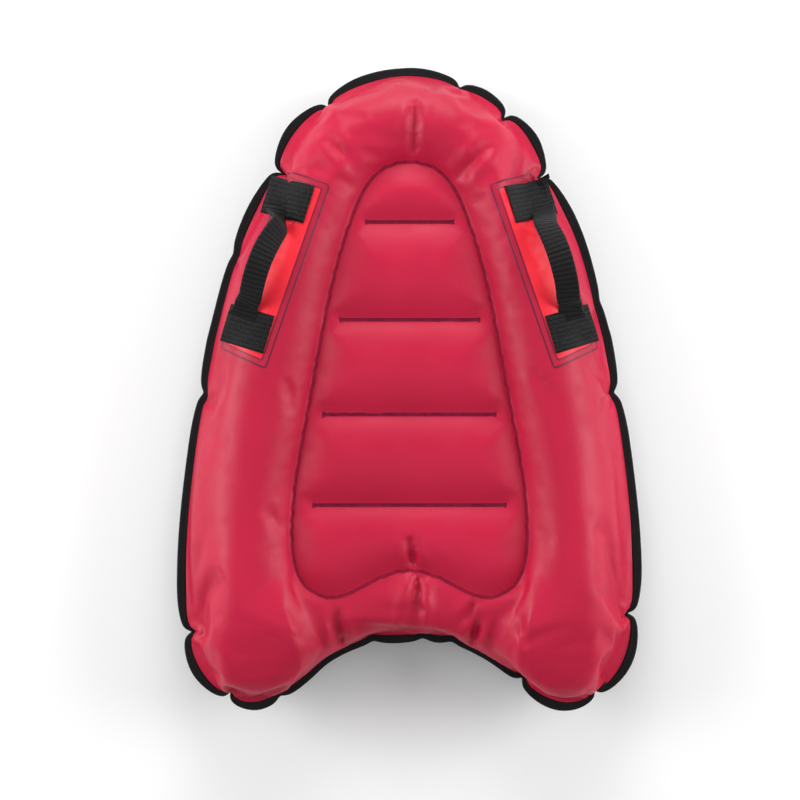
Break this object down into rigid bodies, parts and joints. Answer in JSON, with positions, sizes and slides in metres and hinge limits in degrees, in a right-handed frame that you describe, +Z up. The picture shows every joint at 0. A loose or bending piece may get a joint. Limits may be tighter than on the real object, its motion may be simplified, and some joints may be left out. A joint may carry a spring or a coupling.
{
  "type": "inflatable bodyboard",
  "caption": "Inflatable bodyboard: ringed chest panel inside a fat perimeter tube, concave tail, webbing grips on welded patches, hinged valve lids beneath.",
  "frame": {"origin": "centre of the board's outline, on the floor it lies on", "axes": "+X to the rider's right, +Y towards the nose, +Z up"},
  "size_m": [0.514, 0.7117, 0.1501],
  "materials": {
    "top_fabric": "coated polyester, satin, crimson red",
    "bottom_fabric": "coated polyester, satin black",
    "binding_tape": "woven binding tape, matt black",
    "baffle_fabric": "uncoated woven sheet, off-white",
    "patch_film": "thicker coated fabric, semi-gloss red",
    "webbing": "ribbed woven webbing, matt black",
    "thread": "sewing thread, black",
    "valve_soft": "soft flange, satin black",
    "valve_plastic": "moulded plastic, fine texture, black",
    "seal_rubber": "soft rubber, dark grey",
    "flap_rubber": "translucent silicone rubber"
  },
  "bodies": {
    "board": {"top_skin": "top_fabric", "bottom_skin": "bottom_fabric", "top_panel": "top_fabric", "bottom_panel": "bottom_fabric", "edge_binding": "binding_tape", "ring_baffle": "baffle_fabric", "cross_baffle_1": "baffle_fabric", "cross_baffle_2": "baffle_fabric", "cross_baffle_3": "baffle_fabric", "cross_baffle_4": "baffle_fabric", "left_handle_patch": "patch_film", "left_front_tab": "webbing", "left_rear_tab": "webbing", "left_stitching": "thread", "right_handle_patch": "patch_film", "right_front_tab": "webbing", "right_rear_tab": "webbing", "right_stitching": "thread", "valve_flange": "valve_soft", "valve_body": "valve_plastic", "deflation_hinge": "valve_plastic"},
    "left_grip": {"left_grip": "webbing"},
    "right_grip": {"right_grip": "webbing"},
    "deflation_lid": {"deflation_lid": "valve_plastic", "deflation_seal": "seal_rubber", "inflation_hinge": "valve_plastic"},
    "check_flap": {"check_flap": "flap_rubber"},
    "inflation_cap": {"inflation_cap": "valve_plastic", "inflation_seal": "seal_rubber"}
  },
  "joints": [
    {"name": "left_grip_hinge", "type": "hinge", "parent": "board", "child": "left_grip", "pos_m": [-0.1535, 0.136, 0.11812], "axis": [0.2935, 0.9556, -0.0276], "range_deg": [-90, 14]},
    {"name": "right_grip_hinge", "type": "hinge", "parent": "board", "child": "right_grip", "pos_m": [0.1535, 0.136, 0.11812], "axis": [0.2935, -0.9556, 0.0276], "range_deg": [-90, 14]},
    {"name": "deflation_lid_hinge", "type": "hinge", "parent": "board", "child": "deflation_lid", "pos_m": [0, 0.151, 0.014], "axis": [1, 0, 0], "range_deg": [0, 150]},
    {"name": "inflation_cap_hinge", "type": "hinge", "parent": "deflation_lid", "child": "inflation_cap", "pos_m": [0, 0.1145, 0.009], "axis": [-1, 0, 0], "range_deg": [0, 150]},
    {"name": "check_flap_slide", "type": "slide", "parent": "deflation_lid", "child": "check_flap", "axis": [0, 0, 1], "range_m": [0, 0.0015], "stiffness_N_per_m": 10, "springref_m": -0.001}
  ]
}
